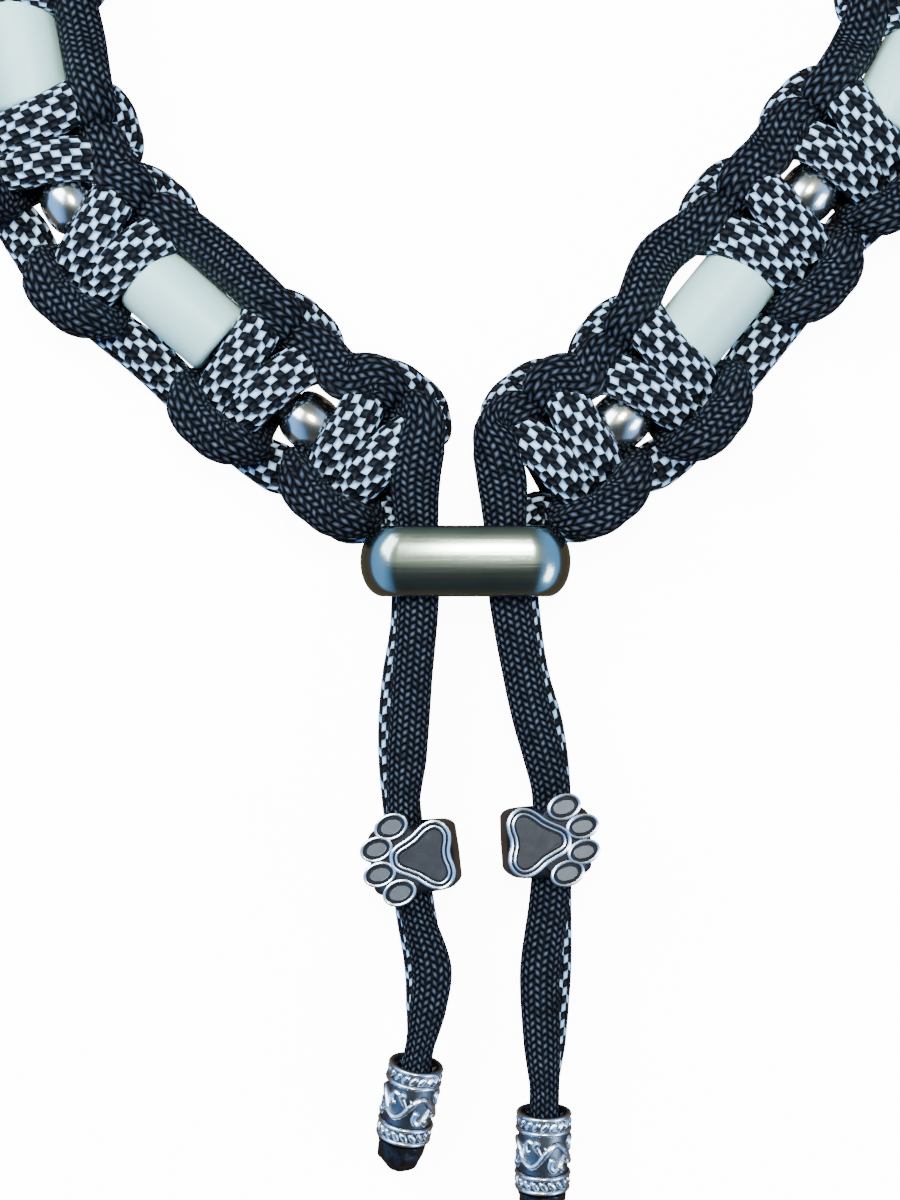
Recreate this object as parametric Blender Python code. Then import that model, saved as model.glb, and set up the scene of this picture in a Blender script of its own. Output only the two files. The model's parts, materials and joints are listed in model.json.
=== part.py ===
"""Hand-knotted pet collar, lying flat and closed in a ring, tassels towards -Y.

A black cord and a patterned cord are tied in square knots round a hidden core
cord.  Ceramic tubes and metal barrel beads are threaded on the core between the
knots.  Both ends pass as two tassels through one oval slider, and each tassel
carries a paw bead and an end bead.  Metres, +Z up, seen from above: +Y is the
top of the ring, the slider is near the bottom.
"""
import math

import bmesh
import bpy
from mathutils import Matrix, Vector
from mathutils.geometry import interpolate_bezier

# ---- cords
CORD_R = 0.0015          # a cord where it runs free
SLOT_R = 0.0013          # the same cord in the slider and where the slider travels
SQUEEZED_R = 0.0009      # and pressed in a knot
SIDE_R = 0.0013          # and beside a bead
PRESSED_R = 0.0014       # and gathered before an end bead
END_R = 0.0010           # and inside it
CORE_R = 0.0012          # the hidden core cord
CORE_END = 0.0025        # it ends this far past the middle of the first and the last knot
END_KNOT = 0.0038        # from the first bead's face to the middle of the knot before it
GAP = 0.0003             # clearance between pieces that touch

# ---- beads
TUBE_LENGTH = 0.0110
TUBE_R = 0.0040
TUBE_BORE_R = 0.0022
TUBE_EDGE = 0.0007
BARREL_LENGTH = 0.0050
BARREL_R = 0.0030
BARREL_BORE_R = 0.0018
TUBE_SLACK = 0.0013      # the strands stand this far off a ceramic tube
BARREL_SLACK = 0.0030    # and this far off a barrel bead
LOOSE_TUBE = 17          # beside this one bead the black strand stands off as at a barrel bead
TUBE_DROP = 0.0018       # the strands beside a ceramic tube lie this far off the core's level
BARREL_DROP = 0.0028     # and beside a barrel bead

# ---- slider
SLIDER_WIDTH = 0.0218    # along X
SLIDER_DEPTH = 0.0073    # along the cords
SLIDER_HEIGHT = 0.0107
SLIDER_RIM = 0.0003      # wall left at the mouth of the slot
SLIDER_BULGE_X = 0.0024  # how far the ends swell out past the rim
SLIDER_BULGE_Z = 0.0011  # and the front and back
SLOT_CORNER = 0.0026
SLIDER_FLAT = 0.0002     # ground off the underside, which it rests on

# ---- paw beads
PAW_LENGTH = 0.0084      # along the leg
PAW_WIDTH = 0.0088
PAW_BODY_HEIGHT = 0.0090
PAW_CORNER = 0.0024
PAW_HOLE_WIDTH = 0.0050
PAW_HOLE_HEIGHT = 0.0070
PAW_HOLE_CORNER = 0.0020
PAW_PLATE = 0.0011       # the paw stands this proud of the body

# ---- end beads and the melted cord ends under them
END_LENGTH = 0.0083
END_BEAD_R = 0.0030
END_BORE_R = 0.0024
END_RIM = 0.0003
TIP_LENGTH = 0.0034
TIP_R = 0.0026

# ---- heights and the middle of the whole collar, measured from the slider
CORE_Z = 0.0048
SLIDER_Z = SLIDER_HEIGHT / 2 - SLIDER_FLAT
PAW_Z = 0.0051
MIDDLE = Vector((0.0012, 0.0287, 0.0))

# ---- the route of the ring, chosen by hand: slider, first knot, beads, last knot, slider
LEFT_KNOT = (-0.0104, 0.0118)
RIGHT_KNOT = (0.0104, 0.0118)
LEFT_START = (-0.0056, 0.0056)
RIGHT_START = (0.0056, 0.0056)
BEAD_PLACES = [
    (-0.0161, 0.0145), (-0.0293, 0.0264), (-0.0411, 0.0373), (-0.0458, 0.0525),
    (-0.0476, 0.0682), (-0.0463, 0.0842), (-0.0398, 0.0987), (-0.0283, 0.1100),
    (-0.0136, 0.1164), (0.0023, 0.1180), (0.0180, 0.1158), (0.0322, 0.1086),
    (0.0432, 0.0970), (0.0492, 0.0823), (0.0496, 0.0662), (0.0458, 0.0502),
    (0.0357, 0.0383), (0.0259, 0.0265), (0.0161, 0.0146),
]

# ---- one square knot, chosen by hand: the patterned strand from its outer side to the middle
# of the knot, as (along the core, outwards, up).  The second half mirrors the first, and the
# black strand is the same line turned half round the core.
KNOT_ROUTE = [
    (-0.0036, 0.0070, -0.0027), (-0.0018, 0.0066, -0.0020), (-0.0012, 0.0050, -0.0001),
    (-0.0015, 0.0029, 0.0022), (-0.0017, 0.0000, 0.0032), (-0.0026, -0.0037, 0.0025),
    (-0.0040, -0.0059, -0.0002), (-0.0030, -0.0070, -0.0023), (-0.0015, -0.0076, -0.0028),
    (0.0000, -0.0076, -0.0029),
]
OUTER_ROWS = 1           # of these rows, how many lead past the neighbouring bead

# ---- the four legs, chosen by hand, from the first knot through slider and paw bead to the end
# bead, as (x, y, z, radius) from the slider
LEGS = {
    ("patterned_cord", "left"): [
        (-0.0130, 0.0043, 0.0021, SQUEEZED_R), (-0.0107, 0.0041, 0.0018, SQUEEZED_R),
        (-0.0078, 0.0054, 0.0026, SQUEEZED_R), (-0.0059, 0.0036, 0.0034, SLOT_R),
        (-0.0055, 0.0000, 0.0035, SLOT_R), (-0.0058, -0.0070, 0.0035, SLOT_R),
        (-0.0066, -0.0120, 0.0035, SLOT_R), (-0.0070, -0.0165, 0.0035, CORD_R),
        (-0.0070, -0.0205, 0.0035, CORD_R),
        (-0.0067, -0.0250, 0.0035, CORD_R), (-0.0060, -0.0308, 0.0035, CORD_R),
        (-0.0052, -0.0365, 0.0036, CORD_R), (-0.0043, -0.0420, 0.0041, CORD_R),
        (-0.0043, -0.0462, 0.0049, PRESSED_R),
    ],
    ("black_cord", "left"): [
        (-0.0028, 0.0142, 0.0077, SQUEEZED_R), (-0.0032, 0.0115, 0.0079, SLOT_R),
        (-0.0042, 0.0080, 0.0073, SLOT_R), (-0.0047, 0.0036, 0.0068, SLOT_R),
        (-0.0049, -0.0036, 0.0068, SLOT_R), (-0.0055, -0.0120, 0.0068, SLOT_R),
        (-0.0058, -0.0165, 0.0068, CORD_R), (-0.0061, -0.0205, 0.0068, CORD_R),
        (-0.0064, -0.0250, 0.0067, CORD_R), (-0.0060, -0.0308, 0.0067, CORD_R),
        (-0.0050, -0.0365, 0.0068, CORD_R), (-0.0035, -0.0420, 0.0077, CORD_R),
        (-0.0039, -0.0462, 0.0079, PRESSED_R),
    ],
    ("patterned_cord", "right"): [
        (0.0130, 0.0043, 0.0021, SQUEEZED_R), (0.0107, 0.0041, 0.0018, SQUEEZED_R),
        (0.0078, 0.0054, 0.0026, SQUEEZED_R), (0.0058, 0.0036, 0.0034, SLOT_R),
        (0.0053, 0.0000, 0.0035, SLOT_R), (0.0059, -0.0070, 0.0035, SLOT_R),
        (0.0067, -0.0120, 0.0035, SLOT_R), (0.0080, -0.0165, 0.0035, CORD_R),
        (0.0086, -0.0200, 0.0035, CORD_R),
        (0.0090, -0.0236, 0.0035, CORD_R), (0.0091, -0.0290, 0.0035, CORD_R),
        (0.0090, -0.0348, 0.0035, CORD_R), (0.0090, -0.0424, 0.0036, CORD_R),
        (0.0086, -0.0500, 0.0040, PRESSED_R),
    ],
    ("black_cord", "right"): [
        (0.0028, 0.0142, 0.0077, SQUEEZED_R), (0.0032, 0.0115, 0.0079, SLOT_R),
        (0.0038, 0.0080, 0.0073, SLOT_R), (0.0041, 0.0036, 0.0068, SLOT_R),
        (0.0046, -0.0036, 0.0068, SLOT_R), (0.0060, -0.0120, 0.0068, SLOT_R),
        (0.0070, -0.0165, 0.0068, CORD_R),
        (0.0080, -0.0200, 0.0068, CORD_R), (0.0088, -0.0236, 0.0067, CORD_R),
        (0.0090, -0.0290, 0.0067, CORD_R), (0.0087, -0.0348, 0.0067, CORD_R),
        (0.0077, -0.0424, 0.0073, CORD_R), (0.0079, -0.0500, 0.0070, PRESSED_R),
    ],
}

# ---- the pieces on the legs: where they sit from the slider, and how they lie
PAWS = {
    "left": {"place": (-0.0060, -0.0308), "turn": math.radians(187.5), "roll": math.radians(7)},
    "right": {"place": (0.0091, -0.0290), "turn": math.radians(3.0), "roll": math.radians(7)},
}
END_BEADS = {
    "left": {"place": (-0.0058, -0.0560, 0.0047), "lean": math.radians(-10.4),
             "droop": math.radians(14)},
    "right": {"place": (0.0081, -0.0612, 0.0043), "lean": math.radians(-1.0),
              "droop": math.radians(9)},
}
# toes and lobes of the pad on a paw, as (towards the toes, along the leg, half length, half width)
TOES = [(0.0015, 0.0034, 0.00170, 0.00125), (0.00335, 0.0013, 0.00160, 0.00115),
        (0.00335, -0.0013, 0.00160, 0.00115), (0.0015, -0.0034, 0.00170, 0.00125)]
PAD_LOBES = [(-0.0028, 0.0021, 0.0018), (-0.0028, -0.0021, 0.0018), (0.0006, 0.0, 0.0012)]

CORD_SIDES = 2           # bevel resolution: eight sides
MOST_TURN = math.radians(40)
MOST_REACH = 0.0070


def clear_scene():
    for item in list(bpy.data.objects):
        bpy.data.objects.remove(item, do_unlink=True)


def make_material(name, colour, roughness, metallic):
    material = bpy.data.materials.new(name)
    material.use_nodes = True
    shader = material.node_tree.nodes["Principled BSDF"]
    shader.inputs["Base Color"].default_value = (*colour, 1.0)
    shader.inputs["Roughness"].default_value = roughness
    shader.inputs["Metallic"].default_value = metallic
    return material


def add_mesh(name, shape, place, material):
    """Put a bmesh in the scene as one object, with its faces pointing out."""
    bmesh.ops.recalc_face_normals(shape, faces=shape.faces)
    mesh = bpy.data.meshes.new(name)
    shape.to_mesh(mesh)
    shape.free()
    mesh.materials.append(material)
    mesh.shade_smooth()
    mesh.set_sharp_from_angle(angle=math.radians(40))
    item = bpy.data.objects.new(name, mesh)
    item.matrix_world = place
    bpy.context.scene.collection.objects.link(item)
    return item


# ---- smooth lines through chosen points

def smooth_line(knots, steps=10):
    """Read a smooth curve through the points; any fourth value runs straight between them."""
    spots = [Vector(k[:3]) for k in knots]
    last = len(spots) - 1
    headings = [(spots[min(i + 1, last)] - spots[max(i - 1, 0)]).normalized()
                for i in range(last + 1)]
    line = []
    for i in range(last):
        reach = (spots[i + 1] - spots[i]).length / 3
        piece = interpolate_bezier(spots[i], spots[i] + headings[i] * reach,
                                   spots[i + 1] - headings[i + 1] * reach, spots[i + 1], steps + 1)
        for n, spot in enumerate(piece[:-1]):
            line.append((spot, knots[i][-1] + (knots[i + 1][-1] - knots[i][-1]) * n / steps))
    line.append((spots[last], knots[last][-1]))
    return line


def thin_out(line):
    """Keep the ends, and a point wherever the line has turned or run far enough."""
    kept = [line[0]]
    turned = 0.0
    for before, here, after in zip(line, line[1:], line[2:]):
        turned += (here[0] - before[0]).angle(after[0] - here[0])
        far = (here[0] - kept[-1][0]).length
        if turned > MOST_TURN or far > MOST_REACH:
            kept.append(here)
            turned = 0.0
    kept.append(line[-1])
    return kept


class Ring:
    """The core's line, with the place of every bead and knot along it."""

    def __init__(self, first=LEFT_START, last=RIGHT_START):
        flat = [first, LEFT_KNOT, *BEAD_PLACES, RIGHT_KNOT, last]
        steps = 20
        self.line = [spot for spot, _ in smooth_line([(*p, CORE_Z, 0.0) for p in flat], steps)]
        self.run = [0.0]
        for a, b in zip(self.line, self.line[1:]):
            self.run.append(self.run[-1] + (b - a).length)
        self.bead_at = [self.run[(i + 2) * steps] for i in range(len(BEAD_PLACES))]

    def frame(self, station):
        """Place, heading and outward side at a distance along the core."""
        i = max(k for k, r in enumerate(self.run[:-1]) if r <= station)
        share = (station - self.run[i]) / (self.run[i + 1] - self.run[i])
        heading = (self.line[i + 1] - self.line[i]).normalized()
        return (self.line[i].lerp(self.line[i + 1], share), heading,
                Vector((-heading.y, heading.x, 0.0)))

    def core_line(self):
        """The stretch of the line that the core cord fills: it ends inside the end knots."""
        knots = self.knots()
        return [spot for spot, at in zip(self.line, self.run)
                if knots[0] - CORE_END < at < knots[-1] + CORE_END]

    def knots(self):
        """The middle of each free stretch between beads, and one past each end bead."""
        ends = [(at - half_length(i), at + half_length(i)) for i, at in enumerate(self.bead_at)]
        between = [(a[1] + b[0]) / 2 for a, b in zip(ends, ends[1:])]
        return [ends[0][0] - END_KNOT, *between, ends[-1][1] + END_KNOT]


def is_tube(index):
    """Beads alternate, barrel first, so every second one is a ceramic tube."""
    return index % 2 == 1


def half_length(index):
    return (TUBE_LENGTH if is_tube(index) else BARREL_LENGTH) / 2


# ---- the cords

def strand_rows(side):
    """One knot of one strand; side is 1 for the patterned cord and -1 for the black one."""
    half = [(s, side * x, side * z) for s, x, z in KNOT_ROUTE]
    return half + [(-s, x, z) for s, x, z in reversed(half[:-1])]


def beside_bead(ring, index, side):
    """Where a strand passes a bead: off its surface, and a little below or above."""
    spot, _, outward = ring.frame(ring.bead_at[index])
    if is_tube(index):
        loose = index == LOOSE_TUBE and side < 0
        off, drop = TUBE_R + (BARREL_SLACK if loose else TUBE_SLACK), TUBE_DROP
    else:
        off, drop = BARREL_R + BARREL_SLACK, BARREL_DROP
    across = math.sqrt((off + SIDE_R) ** 2 - drop ** 2)
    place = spot + outward * side * across - Vector((0, 0, side * drop))
    return (*place, SIDE_R)


def leg_points(name, end):
    """One leg from the ring to the melted end, in order away from the ring."""
    way = [tuple(p) for p in LEGS[name, end]]
    centre, axis, up = end_bead_frame(end)
    lift = up * (END_R + GAP / 2) * (1 if name == "black_cord" else -1)
    for share in (-0.8, -0.5, 0.0, 0.5):
        way.append((*(centre + axis * END_LENGTH * share + lift), END_R))
    return way


def end_bead_frame(end):
    """Middle of an end bead from the slider, its axis towards the tip, and its upper side."""
    spot = END_BEADS[end]
    axis = Vector((0, -1, 0))
    axis.rotate(Matrix.Rotation(spot["droop"], 3, "X"))
    axis.rotate(Matrix.Rotation(spot["lean"], 3, "Z"))
    sideways = axis.cross(Vector((0, 0, 1))).normalized()
    return Vector(spot["place"]), axis, sideways.cross(axis).normalized()


def cord_knots(ring, name):
    """Every chosen point of one cord, from the left tassel round the ring to the right one."""
    side = -1 if name == "black_cord" else 1
    rows = strand_rows(side)
    stations = ring.knots()
    way = list(reversed(leg_points(name, "left")))
    for k, station in enumerate(stations):
        spot, heading, outward = ring.frame(station)
        first = OUTER_ROWS if k == 0 else 0
        last = len(rows) - (OUTER_ROWS if k == len(stations) - 1 else 0)
        for s, x, z in rows[first:last]:
            way.append((*(spot + heading * s + outward * x + Vector((0, 0, z))), SQUEEZED_R))
        if k < len(stations) - 1:
            way.append(beside_bead(ring, k, side))
    return way + leg_points(name, "right")


def add_cord(name, line, material):
    """A round tube along a line of (place, radius), closed at both ends."""
    data = bpy.data.curves.new(name, "CURVE")
    data.dimensions = "3D"
    data.bevel_depth = CORD_R
    data.bevel_resolution = CORD_SIDES
    data.render_resolution_u = 0
    data.use_fill_caps = True
    spline = data.splines.new("POLY")
    spline.points.add(len(line) - 1)
    for point, (spot, radius) in zip(spline.points, line):
        point.co = (*(spot - MIDDLE), 1.0)
        point.radius = radius / CORD_R
    data.materials.append(material)
    item = bpy.data.objects.new(name, data)
    bpy.context.scene.collection.objects.link(item)
    return item


# ---- turned pieces

def turned(profile, segments):
    """Spin a closed outline of (along the axis, radius) round local X into a ring."""
    shape = bmesh.new()
    ring = [shape.verts.new((x, r, 0.0)) for x, r in profile]
    edges = [shape.edges.new((a, b)) for a, b in zip(ring, ring[1:] + ring[:1])]
    bmesh.ops.spin(shape, geom=ring + edges, cent=(0, 0, 0), axis=(1, 0, 0), dvec=(0, 0, 0),
                   angle=math.tau, steps=segments, use_merge=True, use_duplicate=False)
    return shape


def mirrored_profile(quarter):
    """An outline from its +X half, bore first."""
    return quarter + [(-x, r) for x, r in reversed(quarter)]


def tube_shape():
    edge = TUBE_EDGE
    return turned(mirrored_profile([
        (TUBE_LENGTH / 2, TUBE_BORE_R), (TUBE_LENGTH / 2, TUBE_R - edge),
        (TUBE_LENGTH / 2 - edge, TUBE_R)]), 16)


def barrel_shape():
    flat = (BARREL_BORE_R + BARREL_R) / 2
    return turned(mirrored_profile([
        (BARREL_LENGTH / 2, BARREL_BORE_R), (BARREL_LENGTH / 2, flat),
        (BARREL_LENGTH / 4, BARREL_R)]), 12)


def end_bead_shape():
    waist = END_BEAD_R - END_RIM
    band = END_LENGTH * 0.36
    return turned(mirrored_profile([
        (END_LENGTH / 2, END_BORE_R), (END_LENGTH / 2, END_BEAD_R), (band, END_BEAD_R),
        (band, waist)]), 16)


def tip_shape():
    """A blunt melted end, its flat top towards the bead."""
    rounds = 4
    shape = bmesh.new()
    rim = [shape.verts.new((0.0, 0.0, 0.0)), shape.verts.new((0.0, TIP_R, 0.0))]
    for n in range(1, rounds + 1):
        angle = math.radians(90) * n / rounds
        rim.append(shape.verts.new((TIP_LENGTH * math.sin(angle), TIP_R * math.cos(angle), 0.0)))
    edges = [shape.edges.new((a, b)) for a, b in zip(rim, rim[1:])]
    bmesh.ops.spin(shape, geom=rim + edges, cent=(0, 0, 0), axis=(1, 0, 0), dvec=(0, 0, 0),
                   angle=math.tau, steps=12, use_merge=True, use_duplicate=False)
    bmesh.ops.remove_doubles(shape, verts=shape.verts, dist=1e-6)
    return shape


# ---- the slider and the paw beads

def rounded_loop(half_x, half_z, corner, steps):
    """A rounded rectangle in the XZ plane, as many points for any size."""
    loop = []
    for n, (sx, sz) in enumerate(((1, 1), (-1, 1), (-1, -1), (1, -1))):
        for k in range(steps + 1):
            angle = math.radians(90) * (n + k / steps)
            loop.append((sx * (half_x - corner) + corner * math.cos(angle),
                         sz * (half_z - corner) + corner * math.sin(angle)))
    return loop


def pierced_block(outer_loops, inner_loops):
    """Join loops of (y, outline) into one wall: out along the skin and back through the hole."""
    shape = bmesh.new()
    rings = [[shape.verts.new((x, y, z)) for x, z in loop] for y, loop in outer_loops + inner_loops]
    for a, b in zip(rings, rings[1:] + rings[:1]):
        for i in range(len(a)):
            shape.faces.new((a[i - 1], a[i], b[i], b[i - 1]))
    return shape


def slider_slot():
    """Half the slot's width and height: the outer size less the bulge and the rim."""
    return (SLIDER_WIDTH / 2 - SLIDER_BULGE_X - SLIDER_RIM,
            SLIDER_HEIGHT / 2 - SLIDER_BULGE_Z - SLIDER_RIM)


def slider_shape():
    slot_x, slot_z = slider_slot()
    skin = []
    for degrees in (-90, -55, -20, 20, 55, 90):
        swell = math.cos(math.radians(degrees))
        half_x = slot_x + SLIDER_RIM + SLIDER_BULGE_X * swell
        half_z = slot_z + SLIDER_RIM + SLIDER_BULGE_Z * swell
        y = SLIDER_DEPTH / 2 * math.sin(math.radians(degrees))
        skin.append((y, rounded_loop(half_x, half_z, half_z - slot_z + SLOT_CORNER, 4)))
    slot = rounded_loop(slot_x, slot_z, SLOT_CORNER, 4)
    shape = pierced_block(skin, [(SLIDER_DEPTH / 2, slot), (-SLIDER_DEPTH / 2, slot)])
    cut = bmesh.ops.bisect_plane(shape, geom=shape.verts[:] + shape.edges[:] + shape.faces[:],
                                 plane_co=(0, 0, -SLIDER_Z), plane_no=(0, 0, -1),
                                 clear_outer=True)
    rim = [e for e in cut["geom_cut"] if isinstance(e, bmesh.types.BMEdge)]
    bmesh.ops.edgenet_fill(shape, edges=rim)
    return shape


def paw_body_shape():
    outer = rounded_loop(PAW_WIDTH / 2, PAW_BODY_HEIGHT / 2, PAW_CORNER, 3)
    hole = rounded_loop(PAW_HOLE_WIDTH / 2, PAW_HOLE_HEIGHT / 2, PAW_HOLE_CORNER, 3)
    near, far = -PAW_LENGTH / 2, PAW_LENGTH / 2
    return pierced_block([(near, outer), (far, outer)], [(far, hole), (near, hole)])


def add_prism(shape, outline, low, high):
    """Stand an outline of (x, y) up between two heights."""
    floor = shape.faces.new([shape.verts.new((x, y, low)) for x, y in outline])
    top = bmesh.ops.extrude_face_region(shape, geom=[floor])["geom"]
    bmesh.ops.translate(shape, vec=(0, 0, high - low),
                        verts=[v for v in top if isinstance(v, bmesh.types.BMVert)])


def oval(x, y, half_x, half_y, points=10):
    return [(x + half_x * math.cos(math.tau * k / points),
             y + half_y * math.sin(math.tau * k / points)) for k in range(points)]


def pad_outline():
    """The pad: arcs round its three lobes, joined by straight sides."""
    middle = Vector((sum(p[0] for p in PAD_LOBES) / 3, sum(p[1] for p in PAD_LOBES) / 3))
    outline = []
    for x, y, r in sorted(PAD_LOBES, key=lambda p: math.atan2(p[1] - middle.y, p[0] - middle.x)):
        facing = math.atan2(y - middle.y, x - middle.x)
        for degrees in (-60, -20, 20, 60):
            angle = facing + math.radians(degrees)
            outline.append((x + r * math.cos(angle), y + r * math.sin(angle)))
    return outline


def add_union(target, shapes, sunk):
    """Weld solid shapes into a piece, each let a little way into it."""
    for n, outline in enumerate(shapes):
        shape = bmesh.new()
        add_prism(shape, outline, PAW_BODY_HEIGHT / 2 - sunk, PAW_BODY_HEIGHT / 2 + PAW_PLATE)
        tool = add_mesh(f"{target.name}_tool_{n}", shape, target.matrix_world,
                        target.data.materials[0])
        tool.hide_render = True
        tool.display_type = "WIRE"
        join = target.modifiers.new(f"join_{n}", "BOOLEAN")
        join.operation = "UNION"
        join.object = tool


def add_paw(end, material):
    spot = PAWS[end]
    place = (Matrix.Translation(Vector((*spot["place"], PAW_Z)) - MIDDLE)
             @ Matrix.Rotation(spot["turn"], 4, "Z") @ Matrix.Rotation(spot["roll"], 4, "Y"))
    paw = add_mesh(f"{end}_paw_bead", paw_body_shape(), place, material)
    ovals = [oval(x, y, a, b) for x, y, a, b in TOES]
    add_union(paw, [pad_outline(), *ovals], 0.00075)
    return paw


def along_axis(place, axis):
    """A matrix that turns local X to an axis, with local Z kept as near upright as it can be."""
    side = Vector((0, 0, 1)).cross(axis).normalized()
    turn = Matrix((axis, side, axis.cross(side))).transposed().to_4x4()
    return Matrix.Translation(place - MIDDLE) @ turn


def add_beads(ring, ceramic, metal):
    tubes, barrels = 0, 0
    for index, station in enumerate(ring.bead_at):
        spot, heading, _ = ring.frame(station)
        if is_tube(index):
            tubes += 1
            add_mesh(f"ceramic_tube_{tubes:02d}", tube_shape(), along_axis(spot, heading), ceramic)
        else:
            barrels += 1
            add_mesh(f"metal_bead_{barrels:02d}", barrel_shape(), along_axis(spot, heading), metal)


def add_tassel_ends(end, silver, melted):
    centre, axis, _ = end_bead_frame(end)
    add_mesh(f"{end}_end_bead", end_bead_shape(), along_axis(centre, axis), silver)
    tip = centre + axis * (END_LENGTH / 2 + GAP)
    add_mesh(f"{end}_cord_tip", tip_shape(), along_axis(tip, axis), melted)


def main():
    clear_scene()
    black = make_material("black_cord", (0.012, 0.013, 0.016), 0.75, 0.0)
    patterned = make_material("patterned_cord", (0.35, 0.38, 0.40), 0.75, 0.0)
    core_cord = make_material("core_cord", (0.02, 0.02, 0.02), 0.8, 0.0)
    ceramic = make_material("ceramic", (0.62, 0.66, 0.58), 0.25, 0.0)
    steel = make_material("satin_steel", (0.55, 0.54, 0.50), 0.32, 1.0)
    silver = make_material("antique_silver", (0.50, 0.49, 0.47), 0.38, 1.0)
    melted = make_material("melted_cord", (0.01, 0.01, 0.012), 0.45, 0.0)

    ring = Ring()
    for name, material in (("black_cord", black), ("patterned_cord", patterned)):
        add_cord(name, thin_out(smooth_line(cord_knots(ring, name))), material)
    core = [(spot, CORE_R) for spot in ring.core_line()]
    add_cord("core_cord", thin_out(core), core_cord)
    add_beads(ring, ceramic, steel)
    slider_place = Matrix.Translation(Vector((0, 0, SLIDER_Z)) - MIDDLE)
    add_mesh("slider", slider_shape(), slider_place, steel)
    for end in ("left", "right"):
        add_paw(end, silver)
        add_tassel_ends(end, silver, melted)


main()
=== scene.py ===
import json
import math

import bmesh
import bpy
import numpy as np
from mathutils import Matrix, Vector, noise
from mathutils.geometry import interpolate_bezier

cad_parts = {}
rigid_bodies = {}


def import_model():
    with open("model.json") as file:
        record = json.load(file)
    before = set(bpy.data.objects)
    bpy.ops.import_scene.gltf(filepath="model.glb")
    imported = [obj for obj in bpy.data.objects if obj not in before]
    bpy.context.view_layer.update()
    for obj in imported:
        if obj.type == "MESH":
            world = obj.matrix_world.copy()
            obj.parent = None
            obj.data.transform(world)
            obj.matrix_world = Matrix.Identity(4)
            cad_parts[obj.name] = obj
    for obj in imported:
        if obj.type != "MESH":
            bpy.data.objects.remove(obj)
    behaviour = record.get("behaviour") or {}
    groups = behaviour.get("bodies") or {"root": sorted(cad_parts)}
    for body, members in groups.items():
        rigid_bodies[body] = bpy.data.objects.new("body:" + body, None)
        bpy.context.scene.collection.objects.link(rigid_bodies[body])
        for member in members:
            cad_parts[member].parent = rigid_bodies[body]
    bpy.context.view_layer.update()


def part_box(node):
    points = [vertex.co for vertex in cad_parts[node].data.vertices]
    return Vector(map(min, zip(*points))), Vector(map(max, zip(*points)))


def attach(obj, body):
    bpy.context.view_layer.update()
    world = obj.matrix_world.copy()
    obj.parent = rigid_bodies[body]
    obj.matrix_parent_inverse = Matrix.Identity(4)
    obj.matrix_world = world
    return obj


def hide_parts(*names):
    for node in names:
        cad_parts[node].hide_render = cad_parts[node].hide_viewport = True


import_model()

shown = bpy.context.scene.collection.objects
sliderLow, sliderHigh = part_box("slider")
# everything below is laid out from the middle of the slider, on the surface it rests on
sliderSpot = Vector(((sliderLow.x + sliderHigh.x) / 2, (sliderLow.y + sliderHigh.y) / 2, 0))


# camera, floor and light

viewSet = {
    # the camera looks straight down: its place beside the slider's middle, its height over the
    # middle of the collar, and how much of that plane the long side of the picture shows
    "off": (-0.0016, -0.0040), "height": 0.30, "plane": 0.005, "span": 0.1248, "sensor": 36.0,
    "near": 0.01, "floor": 1.6, "floorColour": (0.95, 0.95, 0.95), "floorRough": 0.9,
    "floorGlow": 12.0,
}


def makeCamera():
    data = bpy.data.cameras.new("camera")
    data.sensor_width = viewSet["sensor"]
    data.lens = viewSet["height"] * viewSet["sensor"] / viewSet["span"]
    data.clip_start = viewSet["near"]
    camera = bpy.data.objects.new("camera", data)
    camera.location = sliderSpot + Vector((*viewSet["off"], viewSet["height"] + viewSet["plane"]))
    shown.link(camera)
    bpy.context.scene.camera = camera


lampSet = {
    "window": {"at": (-0.22, 0.16, 0.30), "size": 0.22, "watts": 3.0, "colour": (0.80, 0.90, 1.0)},
    "ceiling": {"at": (0.03, 0.13, 0.48), "size": 0.09, "watts": 3.0, "colour": (1.0, 1.0, 0.93)},
    "side": {"at": (0.30, -0.12, 0.20), "size": 0.14, "watts": 1.0, "colour": (0.85, 0.93, 1.0)},
}


def makeLights():
    for name, lamp in lampSet.items():
        data = bpy.data.lights.new(name, "AREA")
        data.size = lamp["size"]
        data.energy = lamp["watts"]
        data.color = lamp["colour"]
        light = bpy.data.objects.new(name, data)
        light.location = sliderSpot + Vector(lamp["at"])
        aim = sliderSpot - light.location
        light.rotation_euler = aim.to_track_quat("-Z", "Y").to_euler()
        shown.link(light)


roomSet = {
    "strength": 1.0,
    # from -Y over the top to +Y, from side to side, and from below to above
    "Y": [(0.0, (0.20, 0.15, 0.10)), (0.16, (0.06, 0.075, 0.085)), (0.46, (0.06, 0.075, 0.085)),
          (0.505, (0.95, 0.97, 0.86)), (0.60, (0.95, 0.97, 0.86)), (0.76, (0.42, 0.48, 0.42)),
          (1.0, (0.16, 0.20, 0.24))],
    "X": [(0.0, (1, 1, 1)), (0.12, (1, 1, 1)), (0.34, (0, 0, 0)), (0.66, (0, 0, 0)),
          (0.88, (1, 1, 1)), (1.0, (1, 1, 1))],
    "Z": [(0.0, (1, 1, 1)), (0.47, (1, 1, 1)), (0.53, (0, 0, 0)), (1.0, (0, 0, 0))],
    "sides": (0.44, 1.08, 2.35), "below": (0.20, 0.15, 0.11),
}


def setStops(ramp, stops):
    for place, _ in stops[:-2]:
        ramp.elements.new(place)
    for element, (place, colour) in zip(ramp.elements, stops):
        element.position, element.color = place, (*colour, 1.0)


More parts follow.
